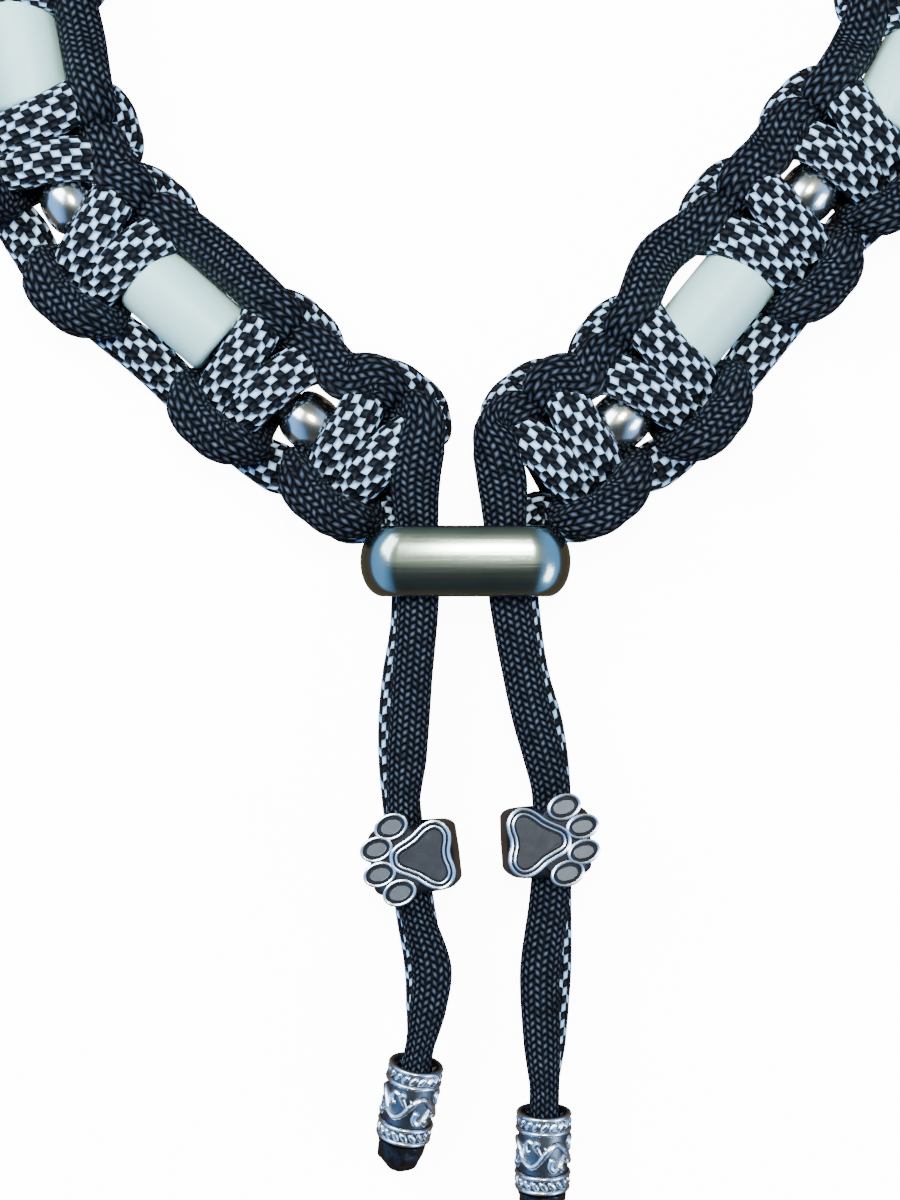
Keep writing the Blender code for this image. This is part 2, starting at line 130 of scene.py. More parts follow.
def makeRoom():
    # a room that is dark towards -Y, bright overhead, bluish to both sides and brown below
    world = bpy.data.worlds.new("room")
    world.use_nodes = True
    nodes, links = world.node_tree.nodes, world.node_tree.links
    split = nodes.new("ShaderNodeSeparateXYZ")
    links.new(nodes.new("ShaderNodeTexCoord").outputs["Generated"], split.inputs[0])

    def ramp(axis):
        shift = nodes.new("ShaderNodeMath")
        shift.operation = "MULTIPLY_ADD"
        shift.inputs[1].default_value = shift.inputs[2].default_value = 0.5
        links.new(split.outputs[axis], shift.inputs[0])
        node = nodes.new("ShaderNodeValToRGB")
        setStops(node.color_ramp, roomSet[axis])
        links.new(shift.outputs[0], node.inputs[0])
        return node.outputs[0]

    light = ramp("Y")
    for axis, tint in (("X", "sides"), ("Z", "below")):
        mix = nodes.new("ShaderNodeMix")
        mix.data_type = "RGBA"
        links.new(ramp(axis), mix.inputs[0])
        links.new(light, mix.inputs[6])
        mix.inputs[7].default_value = (*roomSet[tint], 1.0)
        light = mix.outputs[2]
    links.new(light, nodes["Background"].inputs["Color"])
    nodes["Background"].inputs["Strength"].default_value = roomSet["strength"]
    bpy.context.scene.world = world


def makeFloor():
    shape = bmesh.new()
    bmesh.ops.create_grid(shape, x_segments=1, y_segments=1, size=viewSet["floor"] / 2)
    mesh = bpy.data.meshes.new("floor")
    shape.to_mesh(mesh)
    shape.free()
    floor = bpy.data.objects.new("floor", mesh)
    shown.link(floor)
    paper = bpy.data.materials.new("paper")
    paper.use_nodes = True
    shader = paper.node_tree.nodes["Principled BSDF"]
    shader.inputs["Base Color"].default_value = (*viewSet["floorColour"], 1.0)
    shader.inputs["Roughness"].default_value = viewSet["floorRough"]
    shader.inputs["Emission Color"].default_value = (1.0, 1.0, 1.0, 1.0)
    shader.inputs["Emission Strength"].default_value = viewSet["floorGlow"]
    mesh.materials.append(paper)
    # its glow whitens the background, and doesn't light or tint the collar
    floor.visible_diffuse = floor.visible_glossy = False


makeCamera()
makeLights()
makeRoom()
makeFloor()
print("stage: camera, light and floor are in place")


# shader helpers

class Value:
    # a socket with arithmetic: each sign adds one Math node
    def __init__(self, look, socket):
        self.look = look
        self.socket = socket

    def math(self, operation, *others):
        return self.look.make("ShaderNodeMath", {"operation": operation}, [self, *others])

    def __add__(self, other):
        return self.math("ADD", other)

    def __sub__(self, other):
        return self.math("SUBTRACT", other)

    def __rsub__(self, other):
        return self.look.make("ShaderNodeMath", {"operation": "SUBTRACT"}, [other, self])

    def __mul__(self, other):
        return self.math("MULTIPLY", other)

    def __truediv__(self, other):
        return self.math("DIVIDE", other)

    __radd__ = __add__
    __rmul__ = __mul__


class Look:
    # a material in the making
    def __init__(self, name, **plain):
        self.material = bpy.data.materials.new(name)
        self.material.use_nodes = True
        self.nodes = self.material.node_tree.nodes
        self.links = self.material.node_tree.links
        self.shader = self.nodes["Principled BSDF"]
        for socket, number in plain.items():
            self.shader.inputs[socket.replace("_", " ")].default_value = number

    def make(self, kind, settings, values, output=0):
        # a node of any kind: its settings first, then what its inputs hold or are linked to
        node = self.nodes.new(kind)
        for name, setting in settings.items():
            if name == "stops":
                setStops(node.color_ramp, setting)
            else:
                setattr(node, name, setting)
        pairs = values.items() if isinstance(values, dict) else enumerate(values)
        for name, value in pairs:
            if isinstance(value, Value):
                self.links.new(value.socket, node.inputs[name])
            else:
                node.inputs[name].default_value = value
        return Value(self, node.outputs[output])

    def feed(self, socket, value):
        self.links.new(value.socket, self.shader.inputs[socket])

    def blend(self, share, low, high):
        low, high = [(*c, 1.0) if isinstance(c, tuple) else c for c in (low, high)]
        return self.make("ShaderNodeMix", {"data_type": "RGBA"}, {0: share, 6: low, 7: high}, 2)

    def number(self, name):
        return self.make("ShaderNodeAttribute", {"attribute_name": name}, [], "Fac")

    def place(self):
        return self.make("ShaderNodeTexCoord", {}, [], "Object")

    def mottle(self, vector, scale):
        values = {"Vector": vector, "Scale": scale, "Detail": 3.0}
        return self.make("ShaderNodeTexNoise", {}, values)

    def bump(self, height, distance):
        return self.make("ShaderNodeBump", {}, {"Height": height, "Distance": distance})


# piece helpers

def addPiece(name, mesh, body, replaced, material):
    mesh.name = name
    mesh.materials.clear()
    mesh.materials.append(material)
    piece = bpy.data.objects.new(name, mesh)
    shown.link(piece)
    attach(piece, body)
    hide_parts(replaced)
    return piece


def meshOf(shape, smooth):
    mesh = bpy.data.meshes.new("shape")
    shape.to_mesh(mesh)
    shape.free()
    mesh.shade_smooth()
    mesh.set_sharp_from_angle(angle=math.radians(smooth))
    return mesh


def smoothLine(knots, steps=24):
    # a smooth curve through the chosen points, with the numbers that go with each point
    spots = [Vector(k[:3]) for k in knots]
    last = len(spots) - 1
    headings = [(spots[min(i + 1, last)] - spots[max(i - 1, 0)]).normalized()
                for i in range(last + 1)]
    line = []
    for i in range(last):
        reach = (spots[i + 1] - spots[i]).length / 3
        piece = interpolate_bezier(spots[i], spots[i] + headings[i] * reach,
                                   spots[i + 1] - headings[i + 1] * reach, spots[i + 1], steps + 1)
        start, end = np.array(knots[i][3:]), np.array(knots[i + 1][3:])
        for n, spot in enumerate(piece[:-1]):
            line.append((*spot, *(start + (end - start) * n / steps)))
    line.append((*spots[last], *knots[last][3:]))
    return np.array(line)


# the course of the ring and of both cords, from the slider

beadSet = {
    # tubeRim and tubeLip round the outer edge and the bore's edge; the bore and a ring round it are
    # darkened to brown with painted shade
    "tubeLength": 0.0110, "tubeR": 0.0040, "tubeBore": 0.0022, "tubeRim": 0.0008,
    "tubeLip": 0.0003, "boreShadeWidth": 0.0007,
    "glaze": ((0.40, 0.64, 0.57), (0.49, 0.74, 0.66)), "boreShade": (0.22, 0.15, 0.09),
    "barrelLength": 0.0050, "barrelR": 0.0030, "barrelBore": 0.0018, "barrelEnd": 0.0021,
    "steel": ((0.50, 0.49, 0.44), (0.66, 0.66, 0.62)),
}

ringSet = {
    "height": 0.0048, "endKnot": 0.0038,
    "ends": [(-0.0056, 0.0056), (0.0056, 0.0056)],
    "knots": [(-0.0104, 0.0118), (0.0104, 0.0118)],
    "beads": [
        (-0.0161, 0.0145), (-0.0293, 0.0264), (-0.0411, 0.0373), (-0.0458, 0.0525),
        (-0.0476, 0.0682), (-0.0463, 0.0842), (-0.0398, 0.0987), (-0.0283, 0.1100),
        (-0.0136, 0.1164), (0.0023, 0.1180), (0.0180, 0.1158), (0.0322, 0.1086),
        (0.0432, 0.0970), (0.0492, 0.0823), (0.0496, 0.0662), (0.0458, 0.0502),
        (0.0357, 0.0383), (0.0259, 0.0265), (0.0161, 0.0146),
    ],
}

# one knot of the patterned cord, from its outer side to the middle of the knot: along the core,
# outwards, up; the black cord runs the same line turned half round the core
knotSet = {
    "route": [
        (-0.0036, 0.0064, -0.0027), (-0.0018, 0.0062, -0.0020), (-0.0013, 0.0050, -0.0001),
        (-0.0018, 0.0029, 0.0022), (-0.0021, 0.0000, 0.0032), (-0.0029, -0.0037, 0.0025),
        (-0.0040, -0.0059, -0.0002), (-0.0030, -0.0070, -0.0023), (-0.0015, -0.0076, -0.0028),
        (0.0000, -0.0076, -0.0029),
    ],
    # half sizes of the flattened cord in a knot, in its outer bends and beside the beads
    "size": (0.0024, 0.0016), "outerSize": (0.0019, 0.0023), "outerFrom": 0.0060,
    "tubeSide": (0.0019, 0.0025), "barrelSide": (0.0019, 0.0027),
    # beside a bead: how far the cord lies under or over the core, and its distance from the bead,
    # which is larger on the inner side of one tube
    "tubeDrop": 0.0018, "barrelDrop": 0.0028, "sideR": 0.0013, "tubeSlack": 0.0013,
    "barrelSlack": 0.0022, "looseSlack": 0.0026, "looseTube": 17,
}

# the legs from the end knots through slider and paw bead to the end bead; the last word of a
# point is its size in legSizes
legSet = {
    ("patterned_cord", "left"): [
        (-0.0130, 0.0043, 0.0021, "knot"), (-0.0107, 0.0041, 0.0018, "knot"),
        (-0.0078, 0.0054, 0.0026, "knot"), (-0.0059, 0.0036, 0.0034, "slot"),
        (-0.0055, 0.0000, 0.0035, "slot"), (-0.0058, -0.0070, 0.0035, "leg"),
        (-0.0066, -0.0120, 0.0035, "leg"), (-0.0070, -0.0165, 0.0035, "leg"),
        (-0.0070, -0.0205, 0.0035, "leg"), (-0.0067, -0.0250, 0.0035, "paw"),
        (-0.0060, -0.0308, 0.0035, "paw"), (-0.0052, -0.0365, 0.0036, "leg"),
        (-0.0043, -0.0420, 0.0041, "leg"), (-0.0043, -0.0462, 0.0049, "pressed"),
    ],
    ("black_cord", "left"): [
        (-0.0043, 0.0147, 0.0087, "knot"), (-0.0047, 0.0116, 0.0086, "neck"),
        (-0.0052, 0.0080, 0.0076, "neck"), (-0.0050, 0.0036, 0.0068, "slot"),
        (-0.0049, -0.0036, 0.0068, "slot"), (-0.0055, -0.0120, 0.0068, "leg"),
        (-0.0058, -0.0165, 0.0068, "leg"), (-0.0061, -0.0205, 0.0068, "leg"),
        (-0.0064, -0.0250, 0.0067, "pinched"), (-0.0060, -0.0308, 0.0067, "paw"),
        (-0.0050, -0.0365, 0.0068, "pinched"), (-0.0035, -0.0420, 0.0077, "leg"),
        (-0.0039, -0.0462, 0.0079, "pressed"),
    ],
    ("patterned_cord", "right"): [
        (0.0130, 0.0043, 0.0021, "knot"), (0.0107, 0.0041, 0.0018, "knot"),
        (0.0078, 0.0054, 0.0026, "knot"), (0.0058, 0.0036, 0.0034, "slot"),
        (0.0053, 0.0000, 0.0035, "slot"), (0.0059, -0.0070, 0.0035, "leg"),
        (0.0067, -0.0120, 0.0035, "leg"), (0.0080, -0.0165, 0.0035, "leg"),
        (0.0086, -0.0200, 0.0035, "leg"), (0.0090, -0.0236, 0.0035, "paw"),
        (0.0091, -0.0290, 0.0035, "paw"), (0.0090, -0.0348, 0.0035, "leg"),
        (0.0090, -0.0424, 0.0036, "leg"), (0.0086, -0.0500, 0.0040, "pressed"),
    ],
    ("black_cord", "right"): [
        (0.0028, 0.0142, 0.0077, "knot"), (0.0032, 0.0115, 0.0079, "neck"),
        (0.0038, 0.0080, 0.0073, "neck"), (0.0041, 0.0036, 0.0068, "slot"),
        (0.0046, -0.0036, 0.0068, "slot"), (0.0060, -0.0120, 0.0068, "leg"),
        (0.0070, -0.0165, 0.0068, "leg"), (0.0080, -0.0200, 0.0068, "leg"),
        (0.0088, -0.0236, 0.0067, "paw"), (0.0090, -0.0290, 0.0067, "paw"),
        (0.0087, -0.0348, 0.0067, "leg"), (0.0077, -0.0424, 0.0073, "leg"),
        (0.0079, -0.0500, 0.0070, "pressed"),
    ],
}
# half width and half thickness of a flattened cord along its legs
legSizes = {
    "knot": (0.0021, 0.0015), "neck": (0.0026, 0.0016), "slot": (0.0022, 0.0015),
    "leg": (0.0021, 0.0016), "paw": (0.0020, 0.0016), "pinched": (0.0017, 0.0015),
    "pressed": (0.0019, 0.0015), "end": (0.0015, 0.0011),
}

# the end beads and the melted tips below them; cordLift parts the two cords inside a bead, and
# cordEnd holds their last points, in bead lengths from its middle
endSet = {
    "left": {"place": (-0.0058, -0.0560, 0.0047), "lean": -10.4, "droop": 14.0},
    "right": {"place": (0.0081, -0.0612, 0.0043), "lean": -1.0, "droop": 9.0},
    "length": 0.0083, "bore": 0.0024, "tipLength": 0.0034, "tipR": 0.0026, "tipGap": 0.0003,
    "cordLift": 0.00115, "cordEnd": (-0.8, -0.5, 0.0, 0.5),
}


def endFrame(end):
    # middle of an end bead, its axis towards the tip, and its upper side
    axis = Vector((0, -1, 0))
    axis.rotate(Matrix.Rotation(math.radians(endSet[end]["droop"]), 3, "X"))
    axis.rotate(Matrix.Rotation(math.radians(endSet[end]["lean"]), 3, "Z"))
    sideways = axis.cross(Vector((0, 0, 1))).normalized()
    return Vector(endSet[end]["place"]), axis, sideways.cross(axis).normalized()


def isTube(index):
    return index % 2 == 1


def halfLength(index):
    return beadSet["tubeLength" if isTube(index) else "barrelLength"] / 2


class Ring:
    # the line of the core, with distances along it
    def __init__(self):
        (firstEnd, lastEnd), (firstKnot, lastKnot) = ringSet["ends"], ringSet["knots"]
        flat = [firstEnd, firstKnot, *ringSet["beads"], lastKnot, lastEnd]
        rows = [(*p, ringSet["height"]) for p in flat]
        steps = 20
        self.line = [Vector(row) for row in smoothLine(rows, steps)]
        self.run = [0.0]
        for a, b in zip(self.line, self.line[1:]):
            self.run.append(self.run[-1] + (b - a).length)
        self.beadAt = [self.run[(i + 2) * steps] for i in range(len(ringSet["beads"]))]

    def frame(self, station):
        # the point at a distance along the core, its heading and the outward side
        i = max(k for k, r in enumerate(self.run[:-1]) if r <= station)
        share = (station - self.run[i]) / (self.run[i + 1] - self.run[i])
        heading = (self.line[i + 1] - self.line[i]).normalized()
        return (self.line[i].lerp(self.line[i + 1], share), heading,
                Vector((-heading.y, heading.x, 0.0)))

    def knots(self):
        # knots stand midway between two beads, and one beyond the first and the last
        ends = [(at - halfLength(i), at + halfLength(i)) for i, at in enumerate(self.beadAt)]
        between = [(a[1] + b[0]) / 2 for a, b in zip(ends, ends[1:])]
        return [ends[0][0] - ringSet["endKnot"], *between, ends[-1][1] + ringSet["endKnot"]]


ring = Ring()


def besideBead(index, side):
    spot, _, outward = ring.frame(ring.beadAt[index])
    if isTube(index):
        loose = index == knotSet["looseTube"] and side < 0
        off = beadSet["tubeR"] + knotSet["looseSlack" if loose else "tubeSlack"]
        drop = knotSet["tubeDrop"]
    else:
        off, drop = beadSet["barrelR"] + knotSet["barrelSlack"], knotSet["barrelDrop"]
    across = math.sqrt((off + knotSet["sideR"]) ** 2 - drop ** 2)
    return spot + outward * side * across - Vector((0, 0, side * drop))


def legRows(name, end):
    # points with half sizes and the side that the flat face looks to
    rows = [((x, y, z), legSizes[kind], Vector((0, 0, 1)))
            for x, y, z, kind in legSet[name, end]]
    centre, axis, up = endFrame(end)
    lift = up * endSet["cordLift"] * (1 if name == "black_cord" else -1)
    for share in endSet["cordEnd"]:
        rows.append((centre + axis * endSet["length"] * share + lift, legSizes["end"], up))
    return rows


def cordRows(name):
    # up the left leg, through every knot and beside every bead, and down the right leg
    side = -1 if name == "black_cord" else 1
    half = [(s, side * x, side * z) for s, x, z in knotSet["route"]]
    knot = half + [(-s, x, z) for s, x, z in reversed(half[:-1])]
    stations = ring.knots()
    rows = list(reversed(legRows(name, "left")))
    for k, station in enumerate(stations):
        spot, heading, outward = ring.frame(station)
        first = 1 if k == 0 else 0
        last = len(knot) - (1 if k == len(stations) - 1 else 0)
        for s, x, z in knot[first:last]:
            away = outward * x + Vector((0, 0, z))
            size = knotSet["outerSize" if abs(x) > knotSet["outerFrom"] else "size"]
            rows.append((spot + heading * s + away, size, away.normalized()))
        if k < len(stations) - 1:
            place = besideBead(k, side)
            away = place - ring.frame(ring.beadAt[k])[0]
            size = knotSet["tubeSide" if isTube(k) else "barrelSide"]
            rows.append((place, size, away.normalized()))
    return rows + legRows(name, "right")


# braided tubes: a flattened section carried along a line

braidSet = {
    # distance between sections, points round a section, and how fast a section turns to its side
    "pitch": 0.00040, "around": 26, "tuck": 0.15,
    # stitches: the length of a row, and the columns round the cord, their slant and stagger
    "rowPitch": {"black_cord": 0.00078, "patterned_cord": 0.00084, "core_cord": 0.00078},
    "stitches": {"black_cord": (20, 0.40, 0.5), "patterned_cord": (20, 0.25, 0.0),
                 "core_cord": (12, 0.8, 0.5)},
    "roundness": (2.6, 2.2), "relief": 0.00030, "coreRelief": 0.0002,
    # stitches from one diamond to the next; the shift keeps the sums above zero, and whole
    # numbers off the edge of a comparison
    "diamond": 4, "diamondShift": 1000.05, "diamondShare": 0.2,
    "coreSize": (0.0017, 0.0015), "coreReach": 0.0025, "corePoints": 90,
}

# the darkest colour and the stitch-edge colours are painted shade in the gaps between stitches; the
# pale blue-grey one is a painted highlight on the black stitches' tops
braidColours = {
    "shadow": (0.0003, 0.0003, 0.0005), "black": (0.0020, 0.0024, 0.0038),
    "paintedSheen": (0.080, 0.102, 0.142),
    "dark": (0.0045, 0.0055, 0.0085), "white": (0.55, 0.79, 1.0), "whiteShade": (0.08, 0.13, 0.19),
    "core": (0.02, 0.02, 0.025), "coreShade": (0.003, 0.003, 0.004),
}


def resample(line, pitch):
    # the same line with points at even distances, and its length
    steps = np.linalg.norm(np.diff(line[:, :3], axis=0), axis=1)
    run = np.concatenate([[0], np.cumsum(steps)])
    stations = np.linspace(0, run[-1], int(round(run[-1] / pitch)) + 1)
    columns = [np.interp(stations, run, line[:, k]) for k in range(line.shape[1])]
    return np.stack(columns, 1), run[-1]


def carried(spots, wanted):
    # section normals: each is carried on from the last one and eased towards the wanted side
    heading = np.gradient(spots, axis=0)
    heading /= np.linalg.norm(heading, axis=1)[:, None]
    normal = np.zeros_like(spots)
    current = wanted[0]
    for i, ahead in enumerate(heading):
        current = current - ahead * current.dot(ahead)
        goal = wanted[i] - ahead * wanted[i].dot(ahead)
        if current.dot(goal) < 0:
            goal = -goal
        current = current / np.linalg.norm(current) + goal * braidSet["tuck"]
        current /= np.linalg.norm(current)
        normal[i] = current
    return heading, normal


def tubeMesh(name, rows):
    # a closed tube with a UV map: across in turns, along in stitch rows
    knots = [(*p, *size, *side) for p, size, side in rows]
    line, length = resample(smoothLine(knots), braidSet["pitch"])
    spots, sizes, wanted = line[:, :3] + np.array(sliderSpot), line[:, 3:5], line[:, 5:8]
    heading, normal = carried(spots, wanted)
    across = np.cross(heading, normal)
    around = braidSet["around"]
    turn = np.arange(around) * math.tau / around
    rings = (spots[:, None, :]
             + across[:, None, :] * (sizes[:, 0, None] * np.cos(turn))[:, :, None]
             + normal[:, None, :] * (sizes[:, 1, None] * np.sin(turn))[:, :, None])
    count = len(spots)
    verts = np.concatenate([rings.reshape(-1, 3), spots[:1], spots[-1:]])
    faces, uvs = [], []
    rowAt = np.linspace(0, length / braidSet["rowPitch"][name], count)
    for i in range(count - 1):
        low, high = i * around, (i + 1) * around
        for j in range(around):
            k = (j + 1) % around
            faces.append((low + j, low + k, high + k, high + j))
            a, b = j / around, (j + 1) / around
            uvs += [(a, rowAt[i]), (b, rowAt[i]), (b, rowAt[i + 1]), (a, rowAt[i + 1])]
    for ringStart, tip, at, flip in ((0, count * around, 0, True),
                                     ((count - 1) * around, count * around + 1, rowAt[-1], False)):
        for j in range(around):
            k = (j + 1) % around
            pair = (ringStart + k, ringStart + j) if flip else (ringStart + j, ringStart + k)
            faces.append((*pair, tip))
            uvs += [(j / around, at)] * 3
    mesh = bpy.data.meshes.new(name)
    mesh.from_pydata([tuple(v) for v in verts], [], faces)
    layer = mesh.uv_layers.new(name="braid")
    layer.data.foreach_set("uv", np.array(uvs, np.float32).ravel())
    mesh.shade_smooth()
    return mesh, [tuple(p) for p in spots[::5]] + [tuple(spots[-1])], length


def stitches(look, name):
    # herringbone of short stitches: the column and row of each, and the height over it
    columns, slant, stagger = braidSet["stitches"][name]
    uv = look.make("ShaderNodeUVMap", {"uv_map": "braid"}, [])
    across = look.make("ShaderNodeSeparateXYZ", {}, [uv], "X")
    along = Value(look, across.socket.node.outputs["Y"])
    across = across * columns
    column = across.math("FLOOR")
    x = across - column - 0.5
    odd = column.math("MODULO", 2.0)
    slanted = along + x * ((odd - 0.5) * (2 * slant)) + odd * stagger
    row = slanted.math("FLOOR")
    y = slanted - row - 0.5
    humps = [1 - (part * 2).math("ABSOLUTE").math("POWER", power)
             for part, power in zip((x, y), braidSet["roundness"])]
    return column, row, (humps[0] * humps[1]).math("MAXIMUM", 0.0)


def blackBraid():
    look = Look("blackBraid", Roughness=0.55, Specular_IOR_Level=0.10)
    _, _, hump = stitches(look, "black_cord")
    grain = look.mottle(look.place(), 900.0)
    # the black stitches darken to painted shadow in the gaps between them
    body = look.blend(hump, braidColours["shadow"], braidColours["black"])
    # a painted highlight in patches on the tops of the stitches
    crestHighlight = (hump.math("POWER", 4.0) * (grain * 2.0 - 0.45)).math("MAXIMUM", 0.0)
    look.feed("Base Color", look.blend(crestHighlight, body, braidColours["paintedSheen"]))
    look.feed("Normal", look.bump(hump + grain * 0.25, braidSet["relief"]))
    return look.material


def patternedBraid():
    # white diamonds: every few columns and rows, along both diagonals
    look = Look("patternedBraid", Roughness=0.6, Specular_IOR_Level=0.15)
    column, row, hump = stitches(look, "patterned_cord")
    grain = look.mottle(look.place(), 900.0)
    lines = [(diagonal / braidSet["diamond"] + braidSet["diamondShift"]).math("FRACT")
             .math("LESS_THAN", braidSet["diamondShare"])
             for diagonal in (column + row, column - row)]
    # both kinds of stitch darken to painted shade in the gaps between them
    light = look.blend(hump.math("POWER", 0.5), braidColours["whiteShade"], braidColours["white"])
    dark = look.blend(hump, braidColours["shadow"], braidColours["dark"])
    look.feed("Base Color", look.blend(lines[0].math("MAXIMUM", lines[1]), dark, light))
    look.feed("Normal", look.bump(hump + grain * 0.25, braidSet["relief"]))
    return look.material


def coreBraid():
    look = Look("coreBraid", Roughness=0.7)
    _, _, hump = stitches(look, "core_cord")
    # the core's stitches darken to painted shade in their gaps
    look.feed("Base Color", look.blend(hump, braidColours["coreShade"], braidColours["core"]))
    look.feed("Normal", look.bump(hump, braidSet["coreRelief"]))
    return look.material


def makeCords():
    for name, material in (("black_cord", blackBraid()), ("patterned_cord", patternedBraid())):
        mesh, path, length = tubeMesh(name, cordRows(name))
        piece = addPiece(name.replace("_cord", "_braid"), mesh, "collar", name, material)
        print(f"{name}: {length:.3f} m, {len(mesh.polygons)} faces")
    stations, reach = ring.knots(), braidSet["coreReach"]
    rows = [(ring.frame(at)[0], braidSet["coreSize"], Vector((0, 0, 1)))
            for at in np.linspace(stations[0] - reach, stations[-1] + reach,
                                  braidSet["corePoints"])]
    mesh, _, length = tubeMesh("core_cord", rows)
    addPiece("core_braid", mesh, "collar", "core_cord", coreBraid())
    print(f"core_cord: {length:.3f} m")


makeCords()


# turned beads

def turnedShape(profile, steps, rounds):
    # a closed outline of (along, radius) spun round local X, then some of its rims rounded off
    shape = bmesh.new()
    verts = [shape.verts.new((x, r, 0)) for x, r in profile]
    edges = [shape.edges.new(pair) for pair in zip(verts, verts[1:] + verts[:1])]
    bmesh.ops.spin(shape, geom=verts + edges, cent=(0, 0, 0), axis=(1, 0, 0), dvec=(0, 0, 0),
                   angle=math.tau, steps=steps, use_merge=True, use_duplicate=False)
    for along, radius, offset, segments in rounds:
        rims = [edge for edge in shape.edges if all(
            abs(v.co.x - along) < 1e-6 and abs(math.hypot(v.co.y, v.co.z) - radius) < 1e-6
            for v in edge.verts)]
        bmesh.ops.bevel(shape, geom=rims, offset=offset, offset_type="OFFSET", segments=segments,
                        profile=0.5, affect="EDGES", material=-1)
    bmesh.ops.recalc_face_normals(shape, faces=shape.faces)
    return shape


def shadeVerts(shape, shadeOf):
    # how bright each point is, as painted light: shade in grooves and bores, highlights on ridges
    relief = shape.verts.layers.float.get("relief") or shape.verts.layers.float.new("relief")
    for vert in shape.verts:
        vert[relief] = shadeOf(vert.co)


def alongAxis(place, axis):
    # moves a shape made along local X to its place, with its axis turned to the given one
    side = Vector((0, 0, 1)).cross(axis).normalized()
    turn = Matrix((axis, side, axis.cross(side))).transposed().to_4x4()
    return Matrix.Translation(sliderSpot + place) @ turn


def makeCeramic():
    look = Look("ceramicGlaze", Coat_Weight=0.12, Coat_Roughness=0.3)
    cloud = look.mottle(look.place(), 160.0)
    glaze = look.blend(cloud, *beadSet["glaze"])
    # the bore and the ring round it take the dark brown painted shade, and the glaze shows
    # elsewhere
    look.feed("Base Color", look.blend(look.number("relief"), beadSet["boreShade"], glaze))
    look.feed("Roughness", cloud * 0.12 + 0.40)
    return look.material


def makeSteel():
    look = Look("satinSteel", Metallic=1.0)
    cloud = look.mottle(look.place(), 420.0)
    look.feed("Base Color", look.blend(cloud, *beadSet["steel"]))
    look.feed("Roughness", cloud * 0.10 + 0.13)
    return look.material


def tubeShape(half):
    outer, bore = beadSet["tubeR"], beadSet["tubeBore"]
    rounds = [(along, radius, offset, segments)
              for radius, offset, segments in ((outer, beadSet["tubeRim"], 5),
                                               (bore, beadSet["tubeLip"], 3))
              for along in (-half, half)]
    profile = [(-half, bore), (-half, outer), (half, outer), (half, bore)]
    shape = turnedShape(profile, 64, rounds)
    boreShadeReach = beadSet["boreShadeWidth"]
    # bright away from the bore, fading to painted shade towards it and inside it
    shadeVerts(shape, lambda co: min(1.0, (math.hypot(co.y, co.z) - bore) / boreShadeReach))
    return shape


def barrelShape(half):
    # the outline is an arc from -80 to 80 degrees, stretched to the bead's length
    turns = [math.radians(d) for d in range(-80, 81, 8)]
    flat, wide = math.cos(turns[-1]), math.sin(turns[-1])
    end, bulge = beadSet["barrelEnd"], beadSet["barrelR"] - beadSet["barrelEnd"]
    swell = [(half * math.sin(t) / wide, end + bulge * (math.cos(t) - flat) / (1 - flat))
             for t in turns]
    bore = beadSet["barrelBore"]
    return turnedShape([(-half, bore), *swell, (half, bore)], 48, [])


def makeBeads():
    kinds = {
        True: ("ceramic_tube", "ceramic", makeCeramic(), tubeShape),
        False: ("metal_bead", "satin_steel", makeSteel(), barrelShape),
    }
    counts = {True: 0, False: 0}
    for index, station in enumerate(ring.beadAt):
        spot, heading, _ = ring.frame(station)
        label, slot, material, shapeOf = kinds[isTube(index)]
        counts[isTube(index)] += 1
        name = f"{label}_{counts[isTube(index)]:02d}"
        mesh = meshOf(shapeOf(halfLength(index)), 50)
        mesh.transform(alongAxis(spot, heading))
        addPiece(name + "_look", mesh, name, name, material)
    print(f"beads: {counts[True]} tubes and {counts[False]} barrels")


makeBeads()


# slider

sliderSet = {
    # the wall swells out round the slot by bulgeX at the ends and bulgeZ above and below, and the
    # underside is cut flat
    "width": 0.0218, "depth": 0.0073, "height": 0.0107, "rim": 0.0003, "bulgeX": 0.0024,
    "bulgeZ": 0.0011, "corner": 0.0026, "flat": 0.0002,
    # the brush marks run from side to side
    "steel": ((0.195, 0.24, 0.20), (0.29, 0.345, 0.295)), "brushed": (60.0, 2600.0, 2600.0),
    "brushDepth": 0.00001,
}


def roundedLoop(halfX, halfZ, corner):
    # a rectangle with round corners, as points of (x, z)
    loop, steps = [], 9
    for n, (sx, sz) in enumerate(((1, 1), (-1, 1), (-1, -1), (1, -1))):
        for k in range(steps + 1):
            angle = math.radians(90) * (n + k / steps)
            loop.append((sx * (halfX - corner) + corner * math.cos(angle),
                         sz * (halfZ - corner) + corner * math.sin(angle)))
    return loop


def joinedLoops(loops):
    # walls from each loop of (along Y, outline) to the next, and from the last back to the first
    shape = bmesh.new()
    rings = [[shape.verts.new((x, y, z)) for x, z in loop] for y, loop in loops]
    for a, b in zip(rings, rings[1:] + rings[:1]):
        for i in range(len(a)):
            shape.faces.new((a[i - 1], a[i], b[i], b[i - 1]))
    bmesh.ops.recalc_face_normals(shape, faces=shape.faces)
    return shape


